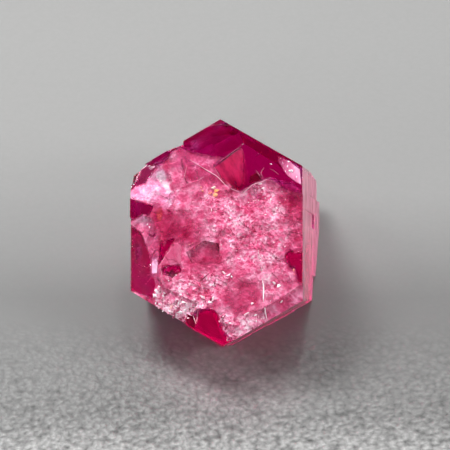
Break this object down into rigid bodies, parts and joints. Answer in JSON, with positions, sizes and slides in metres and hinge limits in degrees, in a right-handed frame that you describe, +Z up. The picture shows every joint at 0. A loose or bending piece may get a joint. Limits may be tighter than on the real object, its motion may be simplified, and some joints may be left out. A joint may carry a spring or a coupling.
{
  "type": "red beryl crystal",
  "caption": "Stubby six-sided red beryl crystal with a broken flat end, cut flat where it grew on its rock and resting on that cut.",
  "frame": {"origin": "on the flat cut that it rests on, under the middle of the crystal's box", "axes": "+Z up; the broken flat end of the prism faces -Y and up, and the prism runs back and down from it towards +Y"},
  "size_m": [0.0092, 0.0138, 0.0096],
  "materials": {
    "red_beryl": "clear crimson, glassy on whole faces and pale and frosted where broken"
  },
  "bodies": {
    "root": {"crystal": "red_beryl"}
  },
  "joints": []
}
